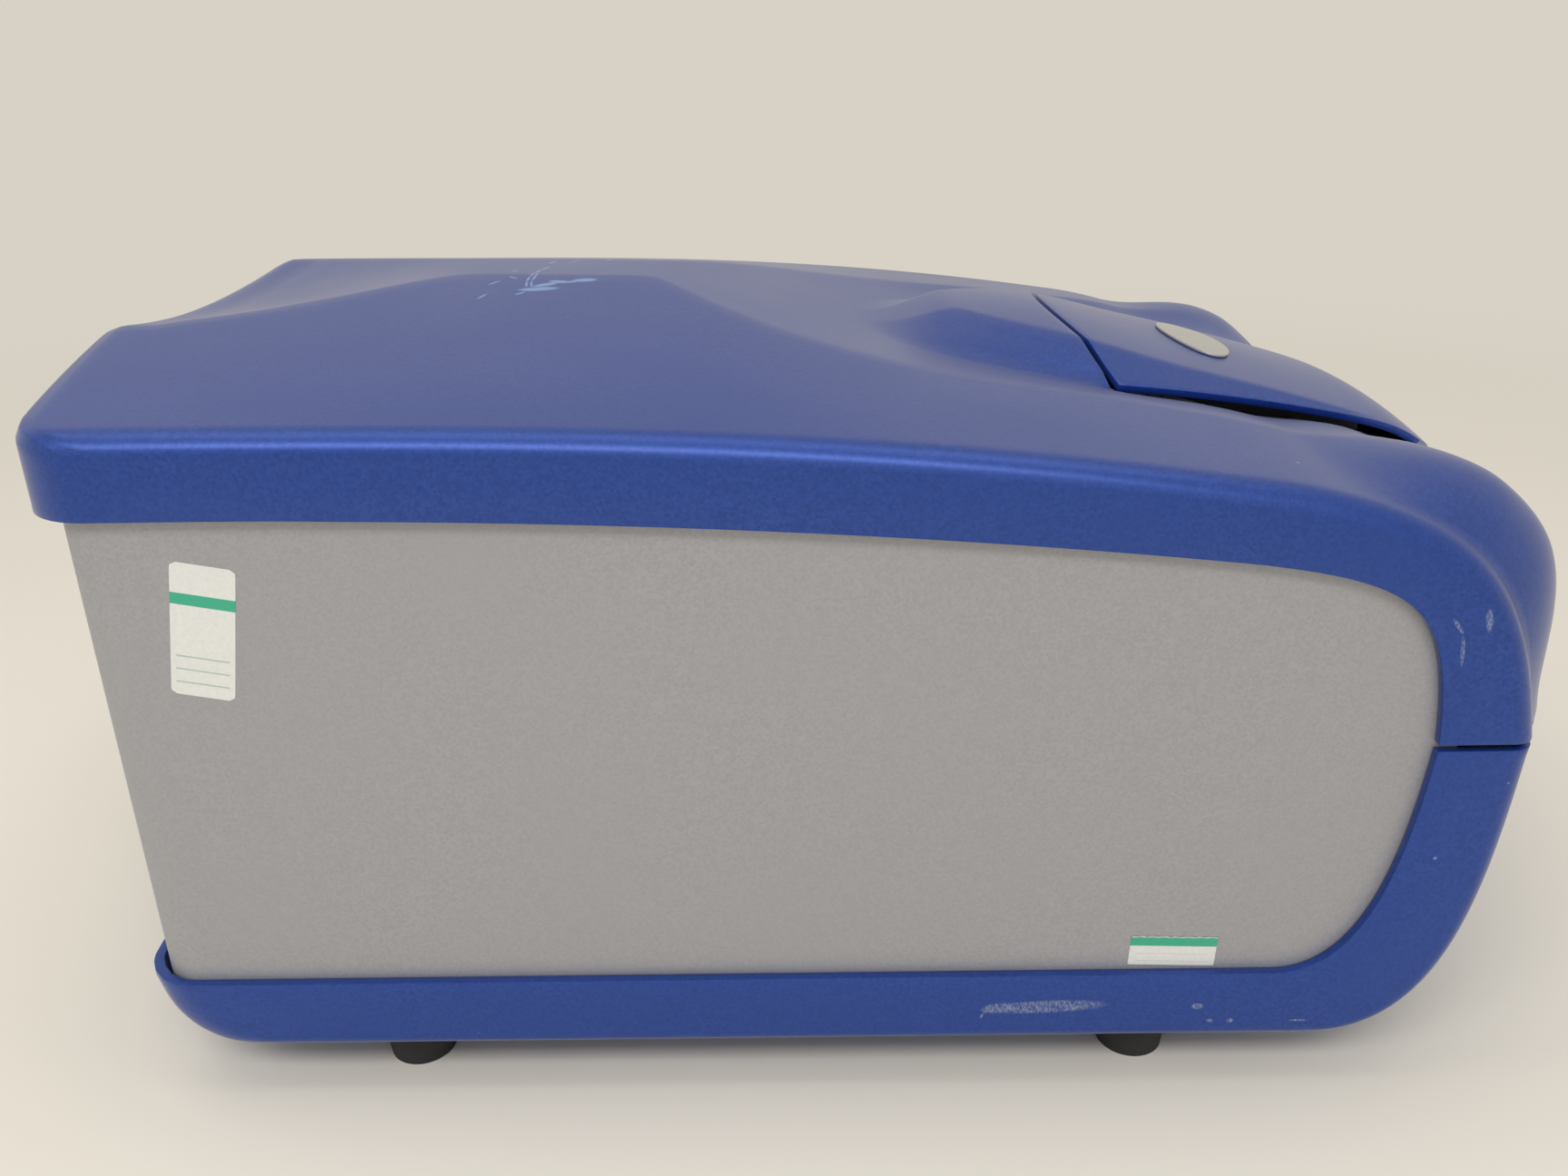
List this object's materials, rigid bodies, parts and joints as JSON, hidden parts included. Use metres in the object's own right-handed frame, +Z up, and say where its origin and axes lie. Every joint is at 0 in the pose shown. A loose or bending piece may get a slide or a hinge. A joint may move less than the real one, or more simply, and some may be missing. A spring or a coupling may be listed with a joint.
{
  "type": "microarray scanner",
  "caption": "Bench-top microarray scanner: domed blue top cover and tray round silver side panels, a rear-hinged lid over the slide bay, and a moving slide carriage and scan head inside.",
  "frame": {"origin": "on the bench under the middle of the casing", "axes": "+Z up, +X to the right of someone who faces the front, the front faces -Y"},
  "size_m": [0.326, 0.458, 0.2322],
  "materials": {
    "blue_shell": "satin metallic blue paint over a fine texture",
    "silver_panel": "warm light-grey speckled paint",
    "badge": "satin",
    "rubber": "matte",
    "dark_steel": "satin black",
    "steel": "ground",
    "aluminium": "machined",
    "black_anodised": "black anodised",
    "iron": "painted",
    "black_plastic": "matte",
    "brass": "machined",
    "board": "solder mask"
  },
  "bodies": {
    "casing": {"top_cover": "blue_shell", "base_tray": "blue_shell", "left_side_panel": "silver_panel", "right_side_panel": "silver_panel", "rear_panel": "silver_panel", "lid_hinge_pins": "steel", "lid_hinge_brackets": "dark_steel", "lid_sensor": "black_plastic", "bay_surround": "black_plastic", "bay_seal": "rubber", "front_left_foot": "rubber", "front_right_foot": "rubber", "rear_left_foot": "rubber", "rear_right_foot": "rubber", "foot_screws": "steel", "chassis_posts": "aluminium", "chassis_plate": "aluminium", "front_rail_block": "aluminium", "rear_rail_block": "aluminium", "carriage_rails": "steel", "carriage_motor": "iron", "head_posts": "aluminium", "head_rails": "steel", "voice_coil_magnet": "iron", "green_laser": "black_anodised", "red_laser": "black_anodised", "green_detector": "black_anodised", "red_detector": "black_anodised", "fold_mirrors": "aluminium", "main_board": "board", "power_supply": "aluminium", "power_inlet": "black_plastic", "data_port": "aluminium", "fan_frame": "black_plastic", "fan_guard": "steel"},
    "lid": {"lid": "blue_shell", "lid_badge": "badge", "lid_hinge_arms": "dark_steel", "lid_magnet": "steel"},
    "carriage": {"slide_carriage": "black_anodised", "clamp_pin": "steel"},
    "clamp": {"slide_clamp": "steel"},
    "screw": {"lead_screw": "brass"},
    "head": {"scan_head": "black_anodised", "objective_lens": "black_anodised"},
    "rocker": {"power_switch": "black_plastic"},
    "fan": {"fan_rotor": "black_plastic"}
  },
  "joints": [
    {"name": "lid_hinge", "type": "hinge", "parent": "casing", "child": "lid", "pos_m": [0, -0.041, 0.197], "axis": [-1, 0, 0], "range_deg": [0, 65]},
    {"name": "carriage_slide", "type": "slide", "parent": "casing", "child": "carriage", "axis": [0, 1, 0], "range_m": [0, 0.084]},
    {"name": "screw_turn", "type": "hinge", "parent": "casing", "child": "screw", "pos_m": [0.0385, 0, 0.131], "axis": [0, 1, 0], "range_deg": [0, 2520.5]},
    {"name": "clamp_hinge", "type": "hinge", "parent": "carriage", "child": "clamp", "pos_m": [-0.0157, -0.143, 0.1524], "axis": [0, -1, 0], "range_deg": [0, 90], "stiffness_Nm_per_rad": 0.01},
    {"name": "head_slide", "type": "slide", "parent": "casing", "child": "head", "axis": [1, 0, 0], "range_m": [-0.011, 0.011]},
    {"name": "power_rocker", "type": "hinge", "parent": "casing", "child": "rocker", "pos_m": [-0.072, 0.202, 0.084], "axis": [-1, 0, 0], "range_deg": [0, 16]},
    {"name": "fan_spin", "type": "hinge", "parent": "casing", "child": "fan", "pos_m": [0.078, 0.1945, 0.114], "axis": [0, 1, 0], "continuous": true}
  ],
  "couplings": [
    {"joint": "screw_turn", "follows": "carriage_slide", "rad_per_m": 523.6}
  ]
}
